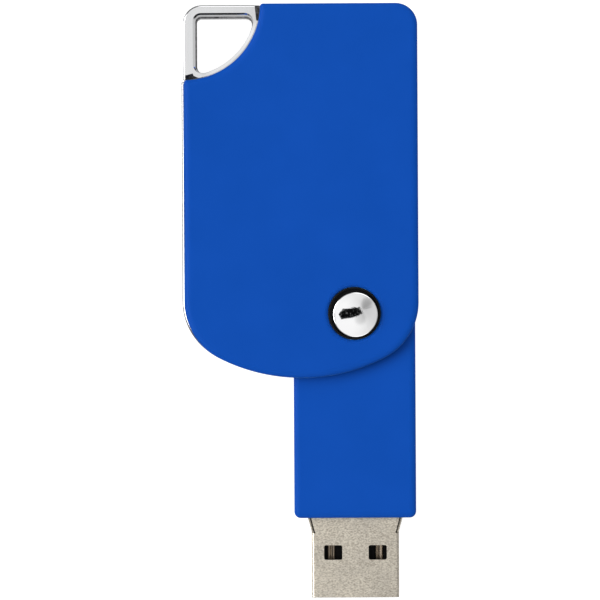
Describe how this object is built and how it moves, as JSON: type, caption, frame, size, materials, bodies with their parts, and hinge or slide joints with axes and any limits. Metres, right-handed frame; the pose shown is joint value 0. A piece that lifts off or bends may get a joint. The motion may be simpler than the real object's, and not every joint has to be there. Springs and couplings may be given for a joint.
{
  "type": "usb flash drive",
  "caption": "Folding USB flash drive: a stick with a USB-A plug swings out on a rivet between two blue plates on a chrome frame with a keyring loop.",
  "frame": {"origin": "centre of the open drive's footprint, on the surface that the back cover lies on", "axes": "+Y along the drive towards the keyring loop, so the open plug points to -Y; +Z out of the front cover; +X towards the side where the stick folds in"},
  "size_m": [0.0324, 0.0816, 0.0109],
  "materials": {
    "blue_plastic": "fine matt, slightly soft-touch moulding",
    "chrome": "polished bright plating on a die casting",
    "rivet_steel": "plain bright steel",
    "black_plastic": "satin moulding",
    "sintered_bronze": "oil-filled sintered bronze",
    "natural_nylon": "unpigmented nylon",
    "plug_nickel": "warm matt nickel plate on folded sheet",
    "contact_gilt": "thin gilt over nickel",
    "solder_mask": "green solder mask on glass-epoxy board",
    "chip_epoxy": "moulded epoxy package",
    "crystal_can": "drawn metal can",
    "ceramic": "fired ceramic chip",
    "resistor_film": "glazed film on ceramic"
  },
  "bodies": {
    "cover": {"front_cover": "blue_plastic", "back_cover": "blue_plastic", "keyring_frame": "chrome", "pivot_pin": "rivet_steel", "pivot_cap": "chrome", "front_pivot_bush": "black_plastic", "back_pivot_bush": "black_plastic"},
    "stick": {"stick_front_shell": "blue_plastic", "stick_back_shell": "blue_plastic", "stick_bush": "sintered_bronze", "wave_washer": "rivet_steel", "friction_washer": "natural_nylon", "usb_shell": "plug_nickel", "plug_insulator": "black_plastic", "circuit_board": "solder_mask", "flash_chip": "chip_epoxy", "controller_chip": "chip_epoxy", "crystal": "crystal_can", "voltage_regulator": "chip_epoxy", "contact_1": "contact_gilt", "contact_2": "contact_gilt", "contact_3": "contact_gilt", "contact_4": "contact_gilt", "capacitor_1": "ceramic", "capacitor_2": "ceramic", "capacitor_3": "ceramic", "capacitor_4": "ceramic", "resistor_1": "resistor_film", "resistor_2": "resistor_film", "resistor_3": "resistor_film", "resistor_4": "resistor_film"}
  },
  "joints": [
    {"name": "stick_swing", "type": "hinge", "parent": "cover", "child": "stick", "pos_m": [0.0074, -0.0017, 0.005], "axis": [0, 0, 1], "range_deg": [0, 180]}
  ]
}
